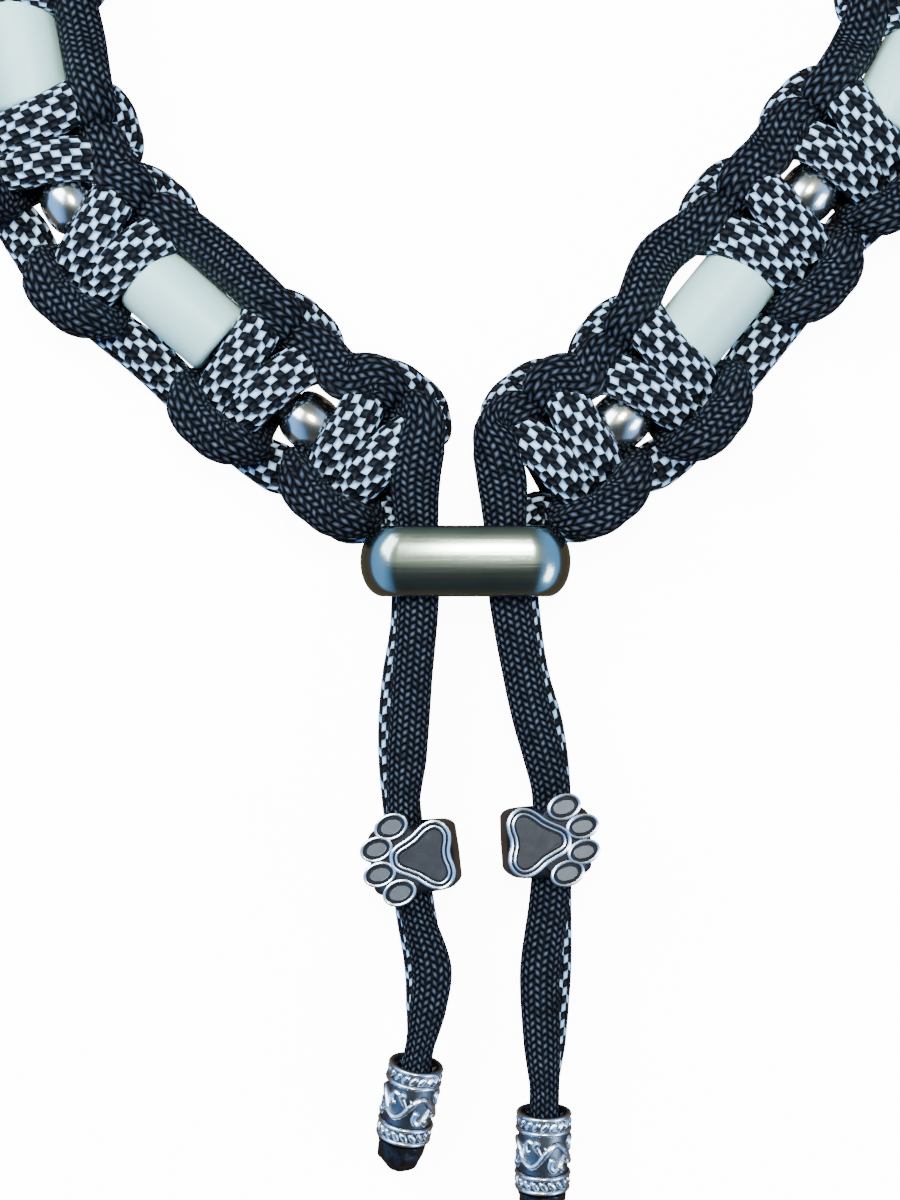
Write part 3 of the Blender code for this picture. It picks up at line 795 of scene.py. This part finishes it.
def makeSlider():
    size = sliderSet
    slotX = size["width"] / 2 - size["bulgeX"] - size["rim"]
    slotZ = size["height"] / 2 - size["bulgeZ"] - size["rim"]
    loops = []
    for degrees in range(-90, 91, 6):
        swell, reach = math.cos(math.radians(degrees)), math.sin(math.radians(degrees))
        halfX = slotX + size["rim"] + size["bulgeX"] * swell
        halfZ = slotZ + size["rim"] + size["bulgeZ"] * swell
        loops.append((size["depth"] / 2 * reach,
                      roundedLoop(halfX, halfZ, halfZ - slotZ + size["corner"])))
    slot = roundedLoop(slotX, slotZ, size["corner"])
    loops += [(size["depth"] / 2, slot), (-size["depth"] / 2, slot)]
    shape = joinedLoops(loops)
    middle = size["height"] / 2 - size["flat"]
    cut = bmesh.ops.bisect_plane(shape, geom=shape.verts[:] + shape.edges[:] + shape.faces[:],
                                 plane_co=(0, 0, -middle), plane_no=(0, 0, -1), clear_outer=True)
    bmesh.ops.edgenet_fill(shape, edges=[e for e in cut["geom_cut"]
                                         if isinstance(e, bmesh.types.BMEdge)])
    mesh = meshOf(shape, 40)
    mesh.transform(Matrix.Translation(sliderSpot + Vector((0, 0, middle))))
    look = Look("brushedSteel", Metallic=1.0)
    stretched = look.make("ShaderNodeVectorMath", {"operation": "MULTIPLY"},
                          [look.place(), size["brushed"]])
    grain = look.mottle(stretched, 1.0)
    cloud = look.mottle(look.place(), 260.0)
    look.feed("Base Color", look.blend(cloud, *size["steel"]))
    look.feed("Roughness", grain * 0.08 + 0.14)
    look.feed("Normal", look.bump(grain, size["brushDepth"]))
    addPiece("slider_look", mesh, "slider", "slider", look.material)
    print("slider: made")


makeSlider()


# engraved silver: paw beads and end beads

def addWire(shape, spots, ups, sizes, closed, sides=8, shade=None):
    # a round line of metal laid along points, each with its upward side and its radius; unless it
    # has a shade of its own, it has a painted highlight on top and painted shade below
    relief = shape.verts.layers.float["relief"]
    count = len(spots)
    rings = []
    for i, (spot, up, size) in enumerate(zip(spots, ups, sizes)):
        before = spots[i - 1] if closed or i else spot
        after = spots[(i + 1) % count] if closed or i < count - 1 else spot
        side = (after - before).cross(up).normalized()
        loop = []
        for k in range(sides):
            turn = math.tau * k / sides
            vert = shape.verts.new(spot + side * size * math.cos(turn) + up * size * math.sin(turn))
            # painted highlight on the wire's top, painted shade on its underside
            vert[relief] = 0.55 + 0.45 * math.sin(turn) if shade is None else shade
            loop.append(vert)
        rings.append(loop)
    for a, b in zip(rings, rings[1:] + (rings[:1] if closed else [])):
        for k in range(sides):
            shape.faces.new((a[k - 1], a[k], b[k], b[k - 1]))
    if not closed:
        shape.faces.new(rings[0])
        shape.faces.new(rings[-1])


def addSlab(shape, outline, low, high, edge, shades):
    # an upright block over an outline of (x, y), its top edge sloped in by a little, with one
    # shade for its walls and one for its top
    relief = shape.verts.layers.float["relief"]
    middle = sum((Vector(p) for p in outline), Vector((0, 0))) / len(outline)
    loops = []
    wall, lid = shades
    for z, inset, shade in ((low, 0, wall), (high - edge, 0, wall), (high, edge, lid)):
        loop = []
        for p in outline:
            inward = (middle - Vector(p)).normalized() * inset
            vert = shape.verts.new((p[0] + inward.x, p[1] + inward.y, z))
            vert[relief] = shade
            loop.append(vert)
        loops.append(loop)
    for a, b in zip(loops, loops[1:]):
        for k in range(len(outline)):
            shape.faces.new((a[k - 1], a[k], b[k], b[k - 1]))
    shape.faces.new(loops[0])
    shape.faces.new(loops[-1])


pawSet = {
    "length": 0.0084, "width": 0.0088, "body": 0.0090, "corner": 0.0024, "rounded": 0.0012,
    "holeWidth": 0.0050, "holeHeight": 0.0070, "holeCorner": 0.0020, "z": 0.0051,
    "left": {"place": (-0.0060, -0.0308), "turn": 187.5, "roll": 7.0},
    "right": {"place": (0.0091, -0.0290), "turn": 3.0, "roll": 7.0},
    # towards the toes, along the leg, half length, half width, slant in degrees
    "toes": [(0.0015, 0.0034, 0.00165, 0.00118, 16.0), (0.0033, 0.0013, 0.00160, 0.00112, 12.0),
             (0.0033, -0.0013, 0.00160, 0.00112, 14.0), (0.0015, -0.0034, 0.00165, 0.00118, 16.0)],
    # half of the pad's outline, from its point over the toes' side to the back
    "pad": [(0.0019, 0.0), (0.00175, 0.0007), (0.0012, 0.00125), (0.0003, 0.0017),
            (-0.0006, 0.0022), (-0.0014, 0.00285), (-0.0022, 0.0033), (-0.0031, 0.0034),
            (-0.0039, 0.00295), (-0.00435, 0.0021), (-0.0043, 0.0012), (-0.0041, 0.0005),
            (-0.00405, 0.0)],
    "plateShift": (-0.0010, 0.0004), "bodyShift": -0.0008, "bodyEase": 0.0007,
    # the dark web between pad and toes, as an oval
    "web": (0.0010, 0.0, 0.0024, 0.0036, 0.0),
    # low and high edge from the body's top, bevel, and how bright the walls and the top are
    "slabs": {
        "pad": (-0.0009, 0.00068, 0.0001, 0.35, 0.05),
        "web": (-0.0012, 0.00056, 0.0001, 0.35, 0.10),
        "padPanel": (0.00048, 0.00080, 0.00005, 0.1, 0.20),
        "toe": (-0.0012, 0.00068, 0.0001, 0.35, 0.05),
        "toePanel": (0.00048, 0.00090, 0.0001, 0.2, 0.46),
    },
    # the wires that edge pad and toes, as height over the body's top and radii
    "wireZ": 0.00080, "padWire": 0.00021, "innerWire": 0.00015, "toeWire": 0.00018,
    # the pad's outline, its inner wire and its panel are drawn in by these
    "padInsets": (0.0, 0.00050, 0.00078), "toeInset": (0.00048, 0.00042),
}


def ovalPoints(x, y, halfX, halfY, slant):
    points, s, out = 36, math.radians(slant), []
    for k in range(points):
        turn = math.tau * k / points
        a, b = halfX * math.cos(turn), halfY * math.sin(turn)
        out.append((x + a * math.cos(s) - b * math.sin(s), y + a * math.sin(s) + b * math.cos(s)))
    return out


def padPoints(inset):
    # the whole outline, drawn in by the same amount all round
    half = pawSet["pad"]
    loop = half + [(x, -y) for x, y in half[-2:0:-1]]
    spots = smoothLine([(*p, 0.0) for p in loop[-2:] + loop + loop[:3]], 5)[10:-10, :2]
    ahead = np.roll(spots, -1, 0) - np.roll(spots, 1, 0)
    ahead /= np.linalg.norm(ahead, axis=1)[:, None]
    return [tuple(p) for p in spots + inset * np.stack([-ahead[:, 1], ahead[:, 0]], 1)]


def pawBody():
    # a block with round corners and ends, and a square hole along the leg
    size = pawSet
    top, rounded = size["body"] / 2, size["rounded"]
    half = size["length"] / 2 - size["bodyEase"]
    loops = []
    for degrees in range(-90, 91, 18):
        swell = (math.cos(math.radians(degrees)) - 1) * rounded
        y = math.copysign(half - rounded, degrees) + rounded * math.sin(math.radians(degrees))
        loop = roundedLoop(size["width"] / 2 + swell, top + swell, size["corner"])
        loops.append((y if degrees else 0.0, [(x + size["bodyShift"], z) for x, z in loop]))
    hole = roundedLoop(size["holeWidth"] / 2, size["holeHeight"] / 2, size["holeCorner"])
    loops += [(half, hole), (-half, hole)]
    shape = joinedLoops(loops)
    shadeVerts(shape, lambda co: 0.30)
    return shape


def addPaw(shape, shiftX, shiftY):
    # the pad, the dark web and four toes, each sunk inside a raised wire
    size, top = pawSet, pawSet["body"] / 2

    def slab(kind, outline):
        low, high, bevel, wall, lid = size["slabs"][kind]
        addSlab(shape, outline, top + low, top + high, bevel, (wall, lid))

    def wire(kind, outline):
        up = Vector((0, 0, 1))
        addWire(shape, [Vector((*p, top + size["wireZ"])) for p in outline], [up] * len(outline),
                [size[kind]] * len(outline), True)

    outer, inner, panel = [[(x + shiftX, y + shiftY) for x, y in padPoints(inset)]
                           for inset in size["padInsets"]]
    x, y, halfX, halfY, slant = size["web"]
    slab("pad", outer)
    slab("web", ovalPoints(x + shiftX, y + shiftY, halfX, halfY, slant))
    slab("padPanel", panel)
    wire("padWire", outer)
    wire("innerWire", inner)
    insetX, insetY = size["toeInset"]
    for x, y, halfX, halfY, slant in size["toes"]:
        toe = (x + shiftX, y + shiftY)
        slab("toe", ovalPoints(*toe, halfX, halfY, slant))
        wire("toeWire", ovalPoints(*toe, halfX, halfY, slant))
        slab("toePanel", ovalPoints(*toe, halfX - insetX, halfY - insetY, slant))


def makePaws(silver):
    shiftX, shiftY = pawSet["plateShift"]
    for end, side in (("left", -1), ("right", 1)):
        shape = pawBody()
        addPaw(shape, shiftX, side * shiftY)
        bmesh.ops.recalc_face_normals(shape, faces=shape.faces)
        mesh = meshOf(shape, 40)
        spot = pawSet[end]
        mesh.transform(Matrix.Translation(sliderSpot + Vector((*spot["place"], pawSet["z"])))
                       @ Matrix.Rotation(math.radians(spot["turn"]), 4, "Z")
                       @ Matrix.Rotation(math.radians(spot["roll"]), 4, "Y"))
        name = f"{end}_paw_bead"
        addPiece(name + "_look", mesh, name, name, silver)
    print("paw beads: made")


# on an end bead: a stem that waves round it, and a curl and a leaf in each hollow, as
# (degrees from the hollow's middle, millimetres along)
vineSet = {
    "wave": 1.2, "hollows": 6, "stemR": 0.00036, "base": 0.0026, "bevel": 0.0001, "sunk": 0.00002,
    # a line's width at its ends and how fast it grows; how deep and how much wider the band of
    # painted shadow under it lies
    "taper": (0.45, 3.0), "shadowBand": (0.70, 1.30),
    # two bands at each end: their place from the rim and from the middle, with slanted cuts
    # between them, as (degrees, millimetres along)
    "bandR": 0.00024, "rimBand": 0.00022, "rimRaise": 0.00006, "innerBand": 0.0024,
    "innerRaise": 0.00012, "cuts": 18, "cutR": 0.00034, "cut": [(0, 3.6), (9, 3.2), (18, 2.75)],
    "curl": [(-26, 0.1), (-14, -0.8), (2, -1.5), (15, -1.1), (12, -0.4), (2, -0.45)],
    "leaf": [(-20, -1.6), (-12, -1.35), (-5, -0.9)], "leafR": 0.00046,
    "dot": [(22, 0.9), (26, 0.7)], "dotR": 0.00040,
}


def onBead(degrees, along, radius):
    turn = math.radians(degrees)
    return Vector((along, radius * math.cos(turn), radius * math.sin(turn)))


def beadWire(shape, route, size, radius, closed=False):
    # a raised line on the bead, thinner towards its ends, in a wider dark band of painted shadow
    line = smoothLine([(d, m, 0.0, size) for d, m in route], 5)
    if closed:
        line = line[:-1]
    spots = [onBead(d, m / 1000, radius) for d, m in line[:, :2]]
    ups = [Vector((0, s.y, s.z)).normalized() for s in spots]
    count = len(spots)
    (narrow, growth), (depth, wide) = vineSet["taper"], vineSet["shadowBand"]
    ends = [1.0 if closed else min(1.0, narrow + growth * min(i, count - 1 - i) / count)
            for i in range(count)]
    addWire(shape, spots, ups, [size * e for e in ends], closed)
    # a wider wire with a fixed dark shade, sunk below the line: a band of painted shadow round it
    sunk = [s - up * size * depth for s, up in zip(spots, ups)]
    addWire(shape, sunk, ups, [size * wide * e for e in ends], closed, 6, 0.02)


def addBand(shape, along, radius):
    spots = [onBead(degrees, along, radius) for degrees in range(0, 360, 6)]
    ups = [Vector((0, s.y, s.z)).normalized() for s in spots]
    addWire(shape, spots, ups, [vineSet["bandR"]] * len(spots), True)


def endBeadShape():
    half, bore, base = endSet["length"] / 2, endSet["bore"], vineSet["base"]
    shape = turnedShape([(-half, bore), (-half, base), (half, base), (half, bore)], 64,
                        [(-half, base, vineSet["bevel"], 2), (half, base, vineSet["bevel"], 2)])
    shadeVerts(shape, lambda co: 0.34)
    rimAt, rimR = half - vineSet["rimBand"], base + vineSet["rimRaise"]
    innerAt, innerR = vineSet["innerBand"], base + vineSet["innerRaise"]
    for along, radius in ((-rimAt, rimR), (-innerAt, innerR), (innerAt, innerR), (rimAt, rimR)):
        addBand(shape, along, radius)
    for side in (-1, 1):
        for k in range(vineSet["cuts"]):
            start = k * 360 / vineSet["cuts"]
            beadWire(shape, [(start + d, side * m) for d, m in vineSet["cut"]], vineSet["cutR"],
                     base - vineSet["sunk"])
    hollows = vineSet["hollows"]
    stem = [(a, vineSet["wave"] * math.cos(math.radians(a * hollows / 2)))
            for a in range(0, 361, 15)]
    beadWire(shape, stem, vineSet["stemR"], base + vineSet["sunk"], True)
    for k in range(hollows):
        shift, side = 360 / hollows * k, 1 if k % 2 == 0 else -1
        for part, size in (("curl", "stemR"), ("leaf", "leafR"), ("dot", "dotR")):
            beadWire(shape, [(d + shift, side * m) for d, m in vineSet[part]], vineSet[size],
                     base - vineSet["sunk"])
    bmesh.ops.recalc_face_normals(shape, faces=shape.faces)
    return shape


def makeEndBeads(silver):
    for end in ("left", "right"):
        mesh = meshOf(endBeadShape(), 45)
        centre, axis, _ = endFrame(end)
        mesh.transform(alongAxis(centre, axis))
        name = f"{end}_end_bead"
        addPiece(name + "_look", mesh, "collar", name, silver)
    print("end beads: made")


# from the painted shade of the grooves to the polished ridges and their painted highlights
silverStops = [
    (0.0, (0.012, 0.013, 0.016)), (0.22, (0.05, 0.052, 0.058)), (0.50, (0.21, 0.225, 0.245)),
    (0.72, (0.46, 0.52, 0.58)), (1.0, (0.74, 0.81, 0.88)),
]


def makeSilver():
    look = Look("antiqueSilver", Metallic=1.0)
    cloud = look.mottle(look.place(), 900.0)
    shade = (look.number("relief") + cloud * 0.16 - 0.08).math("MAXIMUM", 0.0)
    ramp = look.make("ShaderNodeValToRGB", {"stops": silverStops}, [shade])
    look.feed("Base Color", ramp)
    look.feed("Roughness", 0.46 - shade * 0.24)
    return look.material


tipSet = {
    "colours": ((0.0005, 0.0005, 0.0008), (0.006, 0.0065, 0.009)), "relief": 0.00012,
    "plain": 0.97, "lumps": ((0.09, 2.3), (0.03, 6.0)), "blunt": 0.3,
}


def makeTips():
    # a lumpy ball, flattened into the cord's end behind and blunt ahead
    look = Look("meltedCord", Roughness=0.35, Specular_IOR_Level=0.3)
    cloud = look.mottle(look.place(), 1400.0)
    look.feed("Base Color", look.blend(cloud, *tipSet["colours"]))
    look.feed("Normal", look.bump(cloud, tipSet["relief"]))
    (large, largeScale), (small, smallScale) = tipSet["lumps"]
    for end in ("left", "right"):
        shape = bmesh.new()
        bmesh.ops.create_icosphere(shape, subdivisions=5, radius=1.0)
        for vert in shape.verts:
            ahead = max(vert.co.x, 0.0)
            lump = (tipSet["plain"] + large * noise.noise(vert.co * largeScale)
                    + small * noise.noise(vert.co * smallScale))
            waist = max(math.sqrt(1 - min(ahead, 0.999) ** 2), 0.04)
            wide = endSet["tipR"] * lump * waist ** -tipSet["blunt"]
            vert.co = Vector((endSet["tipLength"] * ahead * lump, wide * vert.co.y,
                              wide * vert.co.z))
        mesh = meshOf(shape, 60)
        centre, axis, _ = endFrame(end)
        reach = endSet["length"] / 2 + endSet["tipGap"]
        mesh.transform(alongAxis(centre + axis * reach, axis))
        name = f"{end}_cord_tip"
        addPiece(name + "_look", mesh, "collar", name, look.material)
    print("cord tips: made")


silver = makeSilver()
makePaws(silver)
makeEndBeads(silver)
makeTips()
